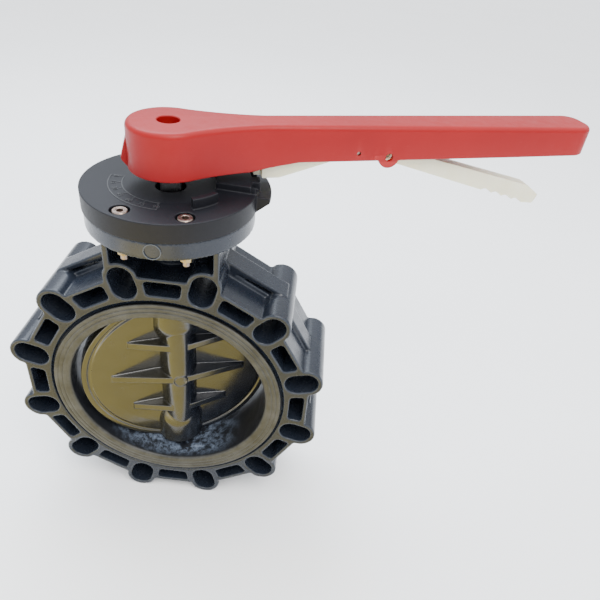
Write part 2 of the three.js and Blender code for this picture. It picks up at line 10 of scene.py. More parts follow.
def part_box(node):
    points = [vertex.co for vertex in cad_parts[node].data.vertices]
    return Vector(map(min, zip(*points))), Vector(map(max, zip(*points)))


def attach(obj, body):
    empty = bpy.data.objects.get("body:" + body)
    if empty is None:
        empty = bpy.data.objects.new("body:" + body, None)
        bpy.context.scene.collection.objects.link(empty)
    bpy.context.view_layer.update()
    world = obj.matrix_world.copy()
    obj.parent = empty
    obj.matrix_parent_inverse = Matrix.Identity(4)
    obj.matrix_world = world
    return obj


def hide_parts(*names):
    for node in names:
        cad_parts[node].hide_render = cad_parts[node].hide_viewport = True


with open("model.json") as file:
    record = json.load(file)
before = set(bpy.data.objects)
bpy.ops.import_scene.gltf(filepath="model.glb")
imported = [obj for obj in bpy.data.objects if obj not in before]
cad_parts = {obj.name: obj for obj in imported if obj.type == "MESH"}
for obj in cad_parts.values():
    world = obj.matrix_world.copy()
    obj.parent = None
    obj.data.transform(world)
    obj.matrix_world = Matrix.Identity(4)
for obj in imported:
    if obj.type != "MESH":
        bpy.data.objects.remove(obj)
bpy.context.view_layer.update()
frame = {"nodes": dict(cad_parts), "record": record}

# ---- sizes: millimetres, turned into metres by MM ----------------------------------------

MM = 0.001

JOINTS = {joint["name"]: joint for joint in frame["record"]["behaviour"]["joints"]}
REST = math.radians(-JOINTS["lever_turn"]["range_deg"][0])  # how far open the lever stands


def box_mm(node):
    """A node's box in millimetres: two corners."""
    return [[value / MM for value in corner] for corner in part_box(node)]


LINER_LOW, LINER_HIGH = box_mm("seat_liner")
PLATE_LOW, PLATE_HIGH = box_mm("index_plate")
HANDLE_LOW, HANDLE_HIGH = box_mm("handle")
BODY_LOW, BODY_HIGH = box_mm("valve_body")

SLOT_CIRCLE = 175.0
LUGS = 12
PITCH = 2 * math.pi / LUGS
HALF_LENGTH = 56.0
SLOT_R = 14.5
SLOT_TRAVEL = 6.5
LUG_R = 20.5
RING_APOTHEM = 180.0
POCKET_IN = 157.0
POCKET_OUT = 175.0
POCKET_IN_HALF = 19.0
POCKET_OUT_HALF = 22.0
POCKET_FLOOR = 10.0
WEB_HALF = 14.5
BODY_BORE = 130.3
FACE_RECESS_R = 149.5
FACE_RECESS_Y = 51.7
GUSSET_END = (139.0, 147.0)
GUSSET_NECK_Z = 191.0
NECK_IN = 57.0
NECK_OUT = 64.0
COLUMN_R = 24.0
FLANGE_R = 93.5
FLANGE_BOTTOM = 230.0
FLANGE_TOP = BODY_HIGH[2]
LINER_R = 125.3
LINER_FLANGE_R = LINER_HIGH[0]
LINER_FACE = LINER_HIGH[1]
LINER_FLANGE_Y = 52.0
DISC_R = 124.7
DISC_WEB_HALF = 4.5
DISC_RIM_HALF = 12.0
BOSS_HALF = 23.0
BOSS_DEPTH = 31.0
PLATE_R = 95.0
PLATE_BOTTOM = PLATE_LOW[2]
PLATE_TOP = 272.0
SCREW_X = 32.4
SCREW_Y = 73.2
HANDLE_TOP = HANDLE_HIGH[2]


# ---- mesh helpers -------------------------------------------------------------------------

def link(name, mesh):
    obj = bpy.data.objects.new(name, mesh)
    bpy.context.scene.collection.objects.link(obj)
    return obj


def arc(cx, cy, r, start, end, count):
    """Points on an arc, ends included; angles in radians."""
    points = []
    for i in range(count + 1):
        angle = start + (end - start) * i / count
        points.append((cx + r * math.cos(angle), cy + r * math.sin(angle)))
    return points


def circle(r, count=64, cx=0.0, cy=0.0):
    return arc(cx, cy, r, 0, 2 * math.pi, count)[:-1]


def turn2(points, angle):
    c, s = math.cos(angle), math.sin(angle)
    return [(x * c - y * s, x * s + y * c) for x, y in points]


def fillet(before, corner, after, r, count=5):
    """Points that round off a corner with radius r."""
    p, q, n = Vector(before), Vector(corner), Vector(after)
    u, v = (p - q).normalized(), (n - q).normalized()
    half = u.angle(v) / 2
    reach = r / math.tan(half)
    centre = q + (u + v).normalized() * (r / math.sin(half))
    first, last = q + u * reach - centre, q + v * reach - centre
    start = math.atan2(first.y, first.x)
    sweep = math.atan2(last.y, last.x) - start
    sweep = (sweep + math.pi) % (2 * math.pi) - math.pi
    return arc(centre.x, centre.y, r, start, start + sweep, count)


def rounded(points, radii, count=5):
    """A closed outline with each corner rounded; a radius of 0 keeps the corner."""
    result = []
    total = len(points)
    for i, r in enumerate(radii):
        before, corner, after = points[i - 1], points[i], points[(i + 1) % total]
        result += fillet(before, corner, after, r, count) if r else [corner]
    return result


def extrude(loops, low, high, upright=False):
    """A solid from an outline with holes. upright: the outline lies in X and Z, and is extruded along Y."""
    data = bpy.data.curves.new("outline", "CURVE")
    data.dimensions = "2D"
    data.fill_mode = "BOTH"
    data.extrude = (high - low) / 2 * MM
    for loop in loops:
        spline = data.splines.new("POLY")
        spline.points.add(len(loop) - 1)
        for point, (x, y) in zip(spline.points, loop):
            point.co = (x * MM, y * MM, 0, 1)
        spline.use_cyclic_u = True
    obj = link("outline", data)
    middle = (low + high) / 2 * MM
    graph = bpy.context.evaluated_depsgraph_get()
    mesh = bpy.data.meshes.new_from_object(obj.evaluated_get(graph))
    if upright:
        mesh.transform(Matrix.Translation((0, middle, 0)) @ Matrix.Rotation(math.pi / 2, 4, "X"))
    else:
        mesh.transform(Matrix.Translation((0, 0, middle)))
    bpy.data.objects.remove(obj)
    bpy.data.curves.remove(data)
    return mesh


def lathe(profile, count=128, along_y=False, closed=False):
    """Turns a profile of (radius, height) points about Z, or about Y."""
    bm = bmesh.new()
    rows = []
    for r, h in profile:
        row = []
        for i in range(count):
            angle = 2 * math.pi * i / count
            x, y = r * math.cos(angle) * MM, r * math.sin(angle) * MM
            row.append(bm.verts.new((x, h * MM, -y) if along_y else (x, y, h * MM)))
        rows.append(row)
    pairs = list(zip(rows, rows[1:]))
    if closed:
        pairs.append((rows[-1], rows[0]))
    for a, b in pairs:
        for i in range(count):
            j = (i + 1) % count
            bm.faces.new((a[i], a[j], b[j], b[i]))
    if not closed:
        bm.faces.new(list(reversed(rows[0])))
        bm.faces.new(rows[-1])
    bmesh.ops.remove_doubles(bm, verts=bm.verts, dist=1e-7)
    bmesh.ops.recalc_face_normals(bm, faces=bm.faces)
    mesh = bpy.data.meshes.new("lathe")
    bm.to_mesh(mesh)
    bm.free()
    return mesh


def slab(x0, x1, y0, y1, z0, z1):
    return extrude([[(x0, y0), (x1, y0), (x1, y1), (x0, y1)]], z0, z1)


def merge(name, meshes, clean=True):
    """One object from several meshes, each with its seams welded."""
    bm = bmesh.new()
    for mesh in meshes:
        bm.from_mesh(mesh)
        bpy.data.meshes.remove(mesh)
    if clean:
        bmesh.ops.remove_doubles(bm, verts=bm.verts, dist=1e-7)
    whole = bpy.data.meshes.new(name)
    bm.to_mesh(whole)
    bm.free()
    return link(name, whole)


def settle(obj):
    """Applies an object's modifiers to its mesh."""
    graph = bpy.context.evaluated_depsgraph_get()
    mesh = bpy.data.meshes.new_from_object(obj.evaluated_get(graph))
    obj.modifiers.clear()
    old, obj.data = obj.data, mesh
    mesh.name = obj.name
    bpy.data.meshes.remove(old)


def smooth_faces(obj):
    for face in obj.data.polygons:
        face.use_smooth = True


def moulded(obj, voxel, passes=6):
    """Fuses overlapping solids into one skin with the soft edges of a moulding."""
    remesh = obj.modifiers.new("skin", "REMESH")
    remesh.mode = "VOXEL"
    remesh.voxel_size = voxel * MM * 1
    soften = obj.modifiers.new("soften", "SMOOTH")
    soften.factor = 0.5
    soften.iterations = passes
    settle(obj)
    smooth_faces(obj)


def cut(obj, tool):
    """Cuts one object out of another."""
    boolean = obj.modifiers.new("cut", "BOOLEAN")
    boolean.operation = "DIFFERENCE"
    boolean.solver = "EXACT"
    boolean.object = tool
    settle(obj)
    bpy.data.objects.remove(tool)


def soft_edges(obj, width, segments=3, angle=32):
    """Rounds sharp edges and shades the rest smooth."""
    bevel = obj.modifiers.new("edges", "BEVEL")
    bevel.width = width * MM
    bevel.segments = segments
    bevel.limit_method = "ANGLE"
    bevel.angle_limit = math.radians(angle)
    bevel.harden_normals = True
    settle(obj)
    smooth_faces(obj)


def turn_to_rest(obj):
    obj.data.transform(Matrix.Rotation(REST, 4, "Z"))


# ---- materials ----------------------------------------------------------------------------

class Finish:
    """A node material, built step by step around one Principled shader."""

    def __init__(self, name):
        self.material = bpy.data.materials.new(name)
        self.material.use_nodes = True
        self.tree = self.material.node_tree
        self.shader = self.tree.nodes["Principled BSDF"]
        self.place = self.add("ShaderNodeTexCoord").outputs["Object"]

    def add(self, kind, **values):
        node = self.tree.nodes.new(kind)
        for key, value in values.items():
            if key in node.inputs:
                node.inputs[key].default_value = value
            else:
                setattr(node, key, value)
        return node

    def link(self, output, socket):
        self.tree.links.new(output, socket)

    def constant(self, **values):
        for key, value in values.items():
            self.shader.inputs[key.replace("_", " ")].default_value = value

    def noise(self, scale, detail=4.0, roughness=0.55, stretch=None):
        node = self.add("ShaderNodeTexNoise", Scale=scale, Detail=detail, Roughness=roughness)
        if stretch:
            mapping = self.add("ShaderNodeMapping")
            mapping.inputs["Scale"].default_value = stretch
            self.link(self.place, mapping.inputs["Vector"])
            self.link(mapping.outputs["Vector"], node.inputs["Vector"])
        else:
            self.link(self.place, node.inputs["Vector"])
        return node.outputs["Fac"]

    def ramp(self, source, stops):
        node = self.add("ShaderNodeValToRGB")
        elements = node.color_ramp.elements
        while len(elements) < len(stops):
            elements.new(0.5)
        for element, (position, value) in zip(elements, stops):
            element.position = position
            element.color = value if len(value) == 4 else (*value, 1)
        self.link(source, node.inputs["Fac"])
        return node.outputs["Color"]

    def levels(self, source, low, high, to_low, to_high):
        node = self.add("ShaderNodeMapRange")
        names = ("From Min", "From Max", "To Min", "To Max")
        for key, value in zip(names, (low, high, to_low, to_high)):
            node.inputs[key].default_value = value
        self.link(source, node.inputs["Value"])
        return node.outputs["Result"]

    def mix(self, factor, a, b, blend="MIX"):
        node = self.add("ShaderNodeMix", data_type="RGBA", blend_type=blend)
        self.link(factor, node.inputs[0])
        for socket, value in ((node.inputs[6], a), (node.inputs[7], b)):
            if isinstance(value, tuple):
                socket.default_value = (*value, 1)
            else:
                self.link(value, socket)
        return node.outputs[2]

    def product(self, a, b):
        node = self.add("ShaderNodeMath", operation="MULTIPLY")
        self.link(a, node.inputs[0])
        self.link(b, node.inputs[1])
        return node.outputs["Value"]

    def color(self, output):
        self.link(output, self.shader.inputs["Base Color"])

    def roughness(self, output):
        self.link(output, self.shader.inputs["Roughness"])

    def bump(self, layers):
        """layers: (height output, strength, distance in mm), the broadest first."""
        normal = None
        for height, strength, distance in layers:
            node = self.add("ShaderNodeBump", Strength=strength, Distance=distance * MM)
            self.link(height, node.inputs["Height"])
            if normal:
                self.link(normal, node.inputs["Normal"])
            normal = node.outputs["Normal"]
        self.link(normal, self.shader.inputs["Normal"])

    def edges(self, low=0.52, high=0.6):
        """Painted highlight on outward edges, from the mesh's own curvature."""
        geometry = self.add("ShaderNodeNewGeometry")
        return self.levels(geometry.outputs["Pointiness"], low, high, 0, 1)


def grey_plastic(name="grey_plastic"):
    f = Finish(name)
    broad = f.noise(9, 3)
    fine = f.noise(900, 2)
    dust = f.levels(f.noise(38, 8, 0.7), 0.5, 0.78, 0, 0.55)
    base = f.ramp(broad, [(0.3, (0.009, 0.012, 0.019)), (0.7, (0.014, 0.018, 0.027))])
    dusty = f.mix(dust, base, (0.026, 0.029, 0.034))
    # Painted highlight: a pale bluish grey mixed in on outward edges.
    f.color(f.mix(f.edges(0.515, 0.60), dusty, (0.055, 0.065, 0.080)))
    f.roughness(f.levels(f.noise(60, 6, 0.65), 0.3, 0.7, 0.21, 0.33))
    f.constant(IOR=1.54, Specular_IOR_Level=0.3)
    f.bump([(f.noise(26, 2), 0.12, 1.0), (fine, 0.05, 0.06)])
    return f.material


def disc_plastic():
    f = Finish("disc_plastic")
    swirl = f.noise(22, 3, 0.5, (1, 1, 1.6))
    place = f.add("ShaderNodeSeparateXYZ")
    f.link(f.place, place.inputs["Vector"])
    # Painted reflection: the half of the disc at negative X gets a warm olive tint and the other half a cool bluish
    # tint, standing in for the warm floor and the sky it would reflect.
    side = f.levels(place.outputs["X"], 0.014, -0.012, 0, 1)
    cool_painted_reflection = f.ramp(swirl, [(0.35, (0.006, 0.008, 0.013)), (0.65, (0.012, 0.014, 0.019))])
    warm = f.ramp(swirl, [(0.35, (0.014, 0.013, 0.009)), (0.65, (0.023, 0.021, 0.013))])
    stain = f.levels(f.noise(48, 8, 0.75), 0.56, 0.78, 0, 0.35)
    f.color(f.mix(stain, f.mix(side, cool_painted_reflection, warm), (0.050, 0.047, 0.036)))
    f.roughness(f.levels(f.noise(70, 6, 0.7), 0.3, 0.75, 0.14, 0.30))
    f.constant(IOR=1.54, Specular_IOR_Level=0.75)
    f.bump([(swirl, 0.10, 0.8), (f.noise(700, 2), 0.04, 0.05)])
    return f.material


def black_plastic(name="black_plastic"):
    f = Finish(name)
    grain = f.noise(1500, 3, 0.6)
    scuff = f.levels(f.noise(150, 10, 0.8, (1, 1, 0.35)), 0.60, 0.74, 0, 0.6)
    base = f.ramp(f.noise(14, 4), [(0.3, (0.0035, 0.0038, 0.006)), (0.7, (0.007, 0.007, 0.010))])
    worn = f.mix(scuff, base, (0.018, 0.018, 0.021))
    # Painted highlight: a lighter bluish grey mixed in on outward edges.
    f.color(f.mix(f.edges(0.53, 0.64), worn, (0.030, 0.034, 0.040)))
    f.roughness(f.levels(grain, 0.3, 0.7, 0.42, 0.60))
    f.constant(IOR=1.5, Specular_IOR_Level=0.22)
    f.bump([(f.noise(40, 3), 0.08, 0.6), (grain, 0.30, 0.12)])
    return f.material


def red_plastic():
    f = Finish("red_plastic")
    broad = f.noise(7, 3)
    scratch = f.levels(f.noise(420, 3, 0.6, (0.05, 1, 1)), 0.62, 0.74, 0, 0.35)
    base = f.ramp(broad, [(0.3, (0.225, 0.0025, 0.0035)), (0.7, (0.265, 0.0035, 0.0045))])
    marked = f.mix(scratch, base, (0.30, 0.014, 0.014))
    # Painted highlight: a lighter red mixed in on outward edges.
    f.color(f.mix(f.edges(0.53, 0.62), marked, (0.33, 0.018, 0.018)))
    f.roughness(f.levels(f.noise(90, 6, 0.6), 0.3, 0.7, 0.36, 0.50))
    f.constant(IOR=1.5, Specular_IOR_Level=0.25)
    f.bump([(f.noise(18, 2), 0.10, 1.2), (f.noise(1100, 2), 0.10, 0.06)])
    return f.material


def white_plastic():
    f = Finish("white_plastic")
    f.color(f.ramp(f.noise(26, 4), [(0.3, (0.72, 0.68, 0.48)), (0.7, (0.80, 0.77, 0.60))]))
    f.roughness(f.levels(f.noise(120, 5), 0.3, 0.7, 0.34, 0.48))
    f.constant(IOR=1.53, Subsurface_Weight=0.35, Subsurface_Radius=(0.006, 0.005, 0.003), Subsurface_Scale=1.0)
    f.bump([(f.noise(60, 3), 0.10, 0.5)])
    return f.material


def liner_rubber():
    """Dark in the barrel, greyer on the faces, with chalky residue low in the barrel."""
    f = Finish("liner_rubber")
    smear = f.noise(30, 8, 0.75, (1, 0.5, 1))
    place = f.add("ShaderNodeSeparateXYZ")
    f.link(f.place, place.inputs["Vector"])
    depth = f.add("ShaderNodeMath", operation="ABSOLUTE")
    f.link(place.outputs["Y"], depth.inputs[0])
    face = f.levels(depth.outputs["Value"], 0.052, 0.0555, 0, 1)
    barrel = f.ramp(f.noise(12, 4), [(0.3, (0.005, 0.006, 0.009)), (0.7, (0.010, 0.011, 0.014))])
    rim = f.ramp(smear, [(0.35, (0.022, 0.022, 0.019)), (0.65, (0.060, 0.059, 0.052))])
    base = f.mix(face, barrel, rim)
    grit = f.levels(f.noise(260, 8, 0.8), 0.58, 0.72, 0, 0.35)
    dusty = f.mix(grit, base, (0.075, 0.076, 0.074))
    low = f.levels(place.outputs["Z"], -0.085, -0.120, 0, 1)
    inside = f.levels(depth.outputs["Value"], 0.054, 0.040, 0, 1)
    spots = f.levels(f.noise(75, 10, 0.8), 0.45, 0.62, 0, 1)
    residue = f.product(f.product(low, inside), spots)
    f.color(f.mix(residue, dusty, (0.17, 0.21, 0.28)))
    f.roughness(f.levels(smear, 0.3, 0.7, 0.30, 0.55))
    f.constant(IOR=1.5, Specular_IOR_Level=0.3)
    f.bump([(f.noise(60, 5), 0.15, 0.6), (f.noise(650, 3), 0.2, 0.12)])
    return f.material


def metal(name, low, high, rough_low, rough_high, scale=220, stretch=None):
    f = Finish(name)
    f.color(f.ramp(f.noise(scale * 0.5, 4), [(0.3, low), (0.7, high)]))
    f.roughness(f.levels(f.noise(scale, 6, 0.7, stretch), 0.3, 0.7, rough_low, rough_high))
    f.constant(Metallic=1.0)
    f.bump([(f.noise(scale * 3, 3, 0.6, stretch), 0.12, 0.05)])
    return f.material


def plain_polymer(name, low, high, rough=0.45):
    f = Finish(name)
    f.color(f.ramp(f.noise(60, 4), [(0.3, low), (0.7, high)]))
    f.roughness(f.levels(f.noise(200, 4), 0.3, 0.7, rough - 0.06, rough + 0.08))
    f.bump([(f.noise(500, 3), 0.12, 0.08)])
    return f.material


MATERIALS = {
    "grey_plastic": grey_plastic(),
    "disc_plastic": disc_plastic(),
    "black_plastic": black_plastic(),
    "red_plastic": red_plastic(),
    "white_plastic": white_plastic(),
    "liner_rubber": liner_rubber(),
    "seal_rubber": plain_polymer("seal_rubber", (0.015, 0.015, 0.015), (0.03, 0.03, 0.03), 0.5),
    "bearing_plastic": plain_polymer("bearing_plastic", (0.40, 0.39, 0.36), (0.48, 0.47, 0.44), 0.45),
    "stem_steel": metal("stem_steel", (0.26, 0.26, 0.27), (0.38, 0.38, 0.39), 0.22, 0.4, stretch=(1, 1, 0.1)),
    "fastener_steel": metal("fastener_steel", (0.20, 0.145, 0.115), (0.30, 0.25, 0.22), 0.25, 0.42),
    "spring_steel": metal("spring_steel", (0.20, 0.20, 0.21), (0.30, 0.30, 0.31), 0.25, 0.4),
    "brass": metal("brass", (0.28, 0.19, 0.07), (0.40, 0.32, 0.18), 0.25, 0.45),
    "ink": plain_polymer("ink", (0.010, 0.010, 0.012), (0.022, 0.022, 0.025), 0.5),
}


def dress(obj, material, body, slot, *nodes):
    """Gives a piece its material, body, and the nodes it stands for; the slot is not used."""
    obj.data.materials.clear()
    obj.data.materials.append(MATERIALS[material])
    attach(obj, body)
    if nodes:
        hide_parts(*nodes)
    return obj


# ---- body ---------------------------------------------------------------------------------

def lug_outline(sweep, joint_r=0.0):
    """The ring's outer outline: an arc round each lug, joined by straight flats."""
    centre = SLOT_CIRCLE + SLOT_TRAVEL
    points = []
    for k in range(LUGS):
        angle = (k + 0.5) * PITCH
        lug = arc(centre, 0, LUG_R, -sweep, sweep, 20)
        if joint_r:
            flat_x = (RING_APOTHEM - LUG_R * math.sin(PITCH / 2)) / math.cos(PITCH / 2)
            far = 14.0
            away = (flat_x - far * math.sin(PITCH / 2), LUG_R + far * math.cos(PITCH / 2))
            bend = fillet((centre, LUG_R - 5.0), (flat_x, LUG_R), away, joint_r)
            trimmed = [p for p in lug if abs(p[1]) < LUG_R - 1.0]
            lower = [(x, -y) for x, y in reversed(bend)]
            lug = lower + trimmed + bend
        points += turn2(lug, angle)
    return points


def slot_loops():
    loop = arc(SLOT_CIRCLE + SLOT_TRAVEL, 0, SLOT_R, -math.pi / 2, math.pi / 2, 20)
    loop += arc(SLOT_CIRCLE - SLOT_TRAVEL, 0, SLOT_R, math.pi / 2, 3 * math.pi / 2, 20)
    return [turn2(loop, (k + 0.5) * PITCH) for k in range(LUGS)]


def pocket_loops():
    corners = [
        (POCKET_IN, -POCKET_IN_HALF),
        (POCKET_OUT, -POCKET_OUT_HALF),
        (POCKET_OUT, POCKET_OUT_HALF),
        (POCKET_IN, POCKET_IN_HALF),
    ]
    loop = rounded(corners, [4.0] * 4)
    return [turn2(loop, k * PITCH) for k in range(LUGS)]


def ring_meshes():
    outer = lug_outline(math.pi / 2, 4.5)
    bore = circle(BODY_BORE, 160)
    recess = circle(FACE_RECESS_R, 160)
    meshes = []
    for side in (-1, 1):
        face = sorted((side * HALF_LENGTH, side * (FACE_RECESS_Y - 0.01)))
        deep = sorted((side * FACE_RECESS_Y, side * POCKET_FLOOR))
        meshes.append(extrude([outer, recess] + slot_loops() + pocket_loops(), *face, upright=True))
        meshes.append(extrude([outer, bore] + slot_loops() + pocket_loops(), *deep, upright=True))
    rib = lug_outline(math.pi / 2 - PITCH / 2)
    meshes.append(extrude([rib, bore] + slot_loops(), -WEB_HALF, WEB_HALF, upright=True))
    return meshes


def neck_meshes():
    foot, top = 176.0, FLANGE_BOTTOM + 4
    meshes = []
    for side in (-1, 1):
        plate = [(NECK_IN, 188), (NECK_OUT - 1.5, 176), (NECK_OUT, 160), (NECK_OUT, top), (NECK_IN, top)]
        plate = [(side * x, z) for x, z in plate]
        meshes.append(extrude([plate], -HALF_LENGTH, HALF_LENGTH, upright=True))
        rib = [(NECK_OUT - 1.5, 179), (118, 152), (GUSSET_END[0], 140), GUSSET_END, (NECK_OUT - 1.5, GUSSET_NECK_Z)]
        rib = [(side * x, z) for x, z in rib]
        meshes.append(extrude([rib], -WEB_HALF, WEB_HALF, upright=True))
    meshes.append(slab(-NECK_OUT, NECK_OUT, -8, 8, foot + 15, top))
    meshes.append(slab(-26, 26, -8, 8, foot, foot + 16))
    meshes.append(lathe([(COLUMN_R, 172), (COLUMN_R, top)], 64))
    return meshes


def flange_mesh():
    """The round top flange with its screw holes."""
    holes = [circle(4.4, 20, sx * SCREW_X, sy * SCREW_Y) for sx in (-1, 1) for sy in (-1, 1)]
    return extrude([circle(FLANGE_R, 160), circle(19, 48)] + holes, FLANGE_BOTTOM, FLANGE_TOP)


def ejector_mark(radius, at, facing, out=0.9):
    """A shallow raised ring, such as an ejector pin leaves."""
    mesh = lathe([(radius - 0.9, -0.8), (radius, -0.8), (radius, out), (radius - 0.9, out)], 48, closed=True)
    mesh.transform(Matrix.Translation(Vector(at) * MM) @ Vector(facing).to_track_quat("Z", "Y").to_matrix().to_4x4())
    return mesh


def build_body():
    body = merge("body_moulding", ring_meshes() + neck_meshes() + [flange_mesh()], clean=False)
    moulded(body, 1.25, 4)
    dress(body, "grey_plastic", "body", "grey_plastic", "valve_body")
    lean = math.radians(-88)
    rim = (FLANGE_R * math.cos(lean), FLANGE_R * math.sin(lean), (FLANGE_BOTTOM + FLANGE_TOP) / 2)
    marks = [
        ejector_mark(9.0, rim, (math.cos(lean), math.sin(lean), 0)),
        ejector_mark(6.0, (0, -COLUMN_R, 216), (0, -1, 0)),
    ]
    dress(merge("ejector_marks", marks), "grey_plastic", "body", "grey_plastic")


def build_liner():
    """The rubber seat: a barrel with a ridged face flange at each end."""
    half = [(LINER_R, 0), (LINER_R, LINER_FACE - 4.5)]
    half += [(LINER_R + 4 - 4 * math.cos(a), LINER_FACE - 4.5 + 4 * math.sin(a))
             for a in (math.radians(20 * i) for i in range(1, 5))]
    for ridge in range(3):
        start = LINER_R + 5.0 + ridge * 5.4
        half += [(start, LINER_FACE - 0.5), (start + 0.8, LINER_FACE), (start + 3.6, LINER_FACE),
                 (start + 4.4, LINER_FACE - 0.5), (start + 4.7, LINER_FACE - 1.0)]
    half += [(LINER_FLANGE_R - 0.8, LINER_FACE - 0.3), (LINER_FLANGE_R, LINER_FACE - 1.2),
             (LINER_FLANGE_R, LINER_FLANGE_Y), (130, LINER_FLANGE_Y), (130, 0)]
    mirrored = [(r, -y) for r, y in reversed(half[1:-1])]
    mesh = lathe(half + mirrored, 256, along_y=True, closed=True)
    liner = merge("seat_rubber", [mesh])
    tool = merge("stem_hole", [lathe([(13.8, -160), (13.8, 160)], 48)])
    cut(liner, tool)
    soft = liner.modifiers.new("shade", "WEIGHTED_NORMAL")
    soft.keep_sharp = False
    smooth_faces(liner)
    dress(liner, "liner_rubber", "body", "liner_rubber", "seat_liner")


# ---- disc ---------------------------------------------------------------------------------

def disc_plate():
    """The plate, dished on both faces, with a groove inside its rim."""
    half = [(0.1, DISC_WEB_HALF), (BOSS_DEPTH, DISC_WEB_HALF), (90, DISC_RIM_HALF - 0.5), (97, DISC_RIM_HALF),
            (112, DISC_RIM_HALF), (114, DISC_RIM_HALF - 1.6), (116, DISC_RIM_HALF - 1.6),
            (118, DISC_RIM_HALF + 0.3), (DISC_R - 1.2, DISC_RIM_HALF + 0.3), (DISC_R, DISC_RIM_HALF - 1.5)]
    return lathe([(r, -y) for r, y in half] + list(reversed(half)), 192, along_y=True)


def build_disc():
    meshes = [disc_plate()]
    boss = [(x, y * BOSS_DEPTH / BOSS_HALF) for x, y in circle(BOSS_HALF, 72)]
    meshes.append(extrude([boss], -DISC_R, DISC_R))
    hub_r, start, full = 32.0, 54.0, 88.0
    up = [(BOSS_HALF + (hub_r - BOSS_HALF) * (1 - math.cos(t)) / 2, start + (full - start) * t / math.pi)
          for t in (math.pi * i / 10 for i in range(11))] + [(hub_r, DISC_R)]
    down = [(r, -h) for r, h in reversed(up)]
    meshes.append(lathe(down + up, 96))
    for z, reach in ((-55, 63), (0, 87), (55, 63)):
        tip, ridge = 12.8, 30.5
        wedge = [(-reach, -tip), (0, -ridge), (reach, -tip), (reach, tip), (0, ridge), (-reach, tip)]
        meshes.append(extrude([wedge], z - 5, z + 5))
    for side in (-1, 1):
        mark = lathe([(8.2, -1), (9.0, -1), (9.0, 0.5), (8.2, 0.5)], 48, closed=True)
        mark.transform(Matrix.Translation((0, side * BOSS_DEPTH * MM, 0)) @ Matrix.Rotation(side * math.pi / -2, 4, "X"))
        meshes.append(mark)
    obj = merge("disc_moulding", meshes, clean=False)
    moulded(obj, 0.8, 3)
    limit = DISC_R * MM
    for vertex in obj.data.vertices:
        if vertex.co.length > limit:
            vertex.co = vertex.co.normalized() * limit
    turn_to_rest(obj)
    dress(obj, "disc_plastic", "lever", "grey_plastic", "disc")


# ---- index plate --------------------------------------------------------------------------

def sector(inner, outer, start, end, count=48):
    a, b = math.radians(start), math.radians(end)
    return arc(0, 0, outer, a, b, count) + arc(0, 0, inner, b, a, count)


def notched_sector():
    """The raised sector's outline, with a notch for the latch at each stop."""
    notch_half = math.degrees(6.9 / 93)
    inner, outer, floor = 50.0, 97.0, 88.0
    points = []
    angle = -4.5
    for k in range(6):
        middle = 18.0 * k
        points += arc(0, 0, outer, math.radians(angle), math.radians(middle - notch_half), 8)
        points += arc(0, 0, floor, math.radians(middle - notch_half), math.radians(middle + notch_half), 4)
        angle = middle + notch_half
    points += arc(0, 0, outer, math.radians(angle), math.radians(98), 4)
    points += arc(0, 0, inner, math.radians(98), math.radians(-4.5), 30)
    return points


def shelf_mesh():
    """The ledge outside the notches, whose underside slopes back to the plate's rim."""
    start, end, count = math.radians(-4.5), math.radians(98), 60
    section = [(84, PLATE_BOTTOM + 0.5), (PLATE_R, PLATE_BOTTOM + 0.5), (110, 264), (110, 269.5), (84, 269.5)]
    bm = bmesh.new()
    rows = []
    for i in range(count + 1):
        angle = start + (end - start) * i / count
        rows.append([bm.verts.new((r * math.cos(angle) * MM, r * math.sin(angle) * MM, z * MM)) for r, z in section])
    size = len(section)
    for a, b in zip(rows, rows[1:]):
        for i in range(size):
            j = (i + 1) % size
            bm.faces.new((a[i], b[i], b[j], a[j]))
    bm.faces.new(rows[0])
    bm.faces.new(list(reversed(rows[-1])))
    bmesh.ops.recalc_face_normals(bm, faces=bm.faces)
    mesh = bpy.data.meshes.new("shelf")
    bm.to_mesh(mesh)
    bm.free()
    return mesh


def build_plate():
    screws = [(sx * SCREW_X, sy * SCREW_Y) for sx in (-1, 1) for sy in (-1, 1)]
    seats = [circle(10, 40, x, y) for x, y in screws]
    holes = [circle(4.3, 20, x, y) for x, y in screws]
    stem_hole = circle(16.5, 48)
    far_seat = circle(10, 40, SCREW_X, SCREW_Y)
    meshes = [
        extrude([circle(PLATE_R, 160), stem_hole] + holes, PLATE_BOTTOM, 264),
        extrude([circle(PLATE_R, 160), circle(50, 96)] + seats, 263.9, PLATE_TOP),
        extrude([notched_sector(), far_seat], 269.5, 280),
        extrude([sector(61, 68, -57, -31)], PLATE_TOP - 2, 283),
        shelf_mesh(),
        lathe([(16.5, 263), (50.5, 263), (50.5, PLATE_TOP), (16.5, 268)], 96, closed=True),
    ]
    plate = merge("index_moulding", meshes, clean=False)
    moulded(plate, 0.7, 2)
    dress(plate, "black_plastic", "body", "black_plastic", "index_plate")
    build_scale()


def text_mesh(words, size, height):
    data = bpy.data.curves.new("number", "FONT")
    data.body = words
    data.size = size * MM
    data.extrude = height * MM / 2
    data.align_x = "CENTER"
    data.align_y = "CENTER"
    obj = link("number", data)
    graph = bpy.context.evaluated_depsgraph_get()
    mesh = bpy.data.meshes.new_from_object(obj.evaluated_get(graph))
    bpy.data.objects.remove(obj)
    bpy.data.curves.remove(data)
    return mesh


